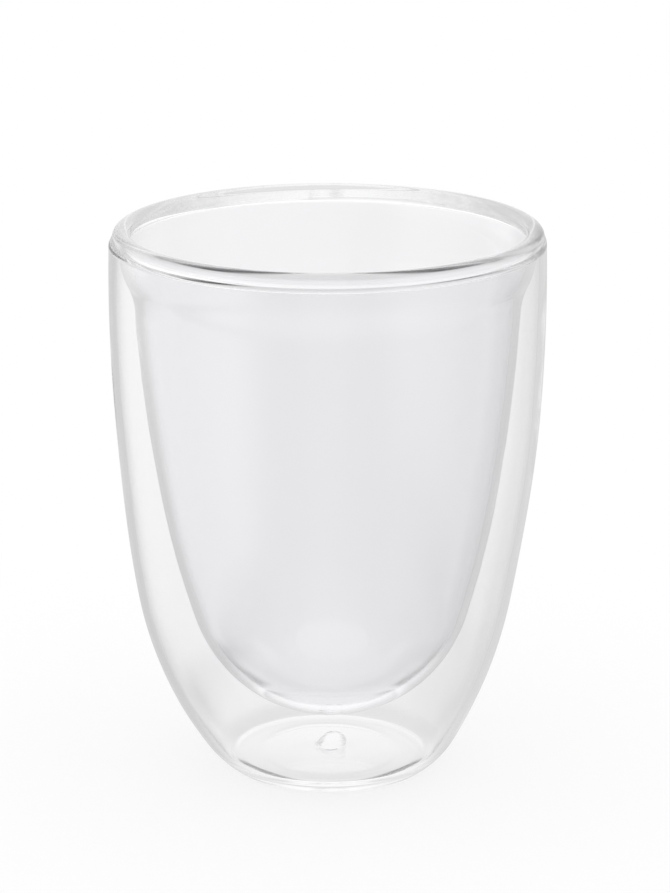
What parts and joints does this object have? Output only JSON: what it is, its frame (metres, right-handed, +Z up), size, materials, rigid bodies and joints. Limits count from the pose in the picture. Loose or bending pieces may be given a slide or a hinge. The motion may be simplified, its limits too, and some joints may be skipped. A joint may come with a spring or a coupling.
{
  "type": "double walled glass cup",
  "caption": "Clear handleless tumbler with a round bottomed drinking bowl hung inside an outer glass shell, fused to it at a rounded rim, on a flat foot.",
  "frame": {"origin": "centre of the foot, on the surface that the cup stands on", "axes": "+Z up along the cup's axis, towards the rim; the cup is round, so +X and +Y are free"},
  "size_m": [0.09, 0.09, 0.116],
  "materials": {
    "clear_glass": "clear, fire polished"
  },
  "bodies": {
    "root": {"outer_shell": "clear_glass", "inner_bowl": "clear_glass", "rim_bead": "clear_glass", "vent_seal": "clear_glass"}
  },
  "joints": []
}
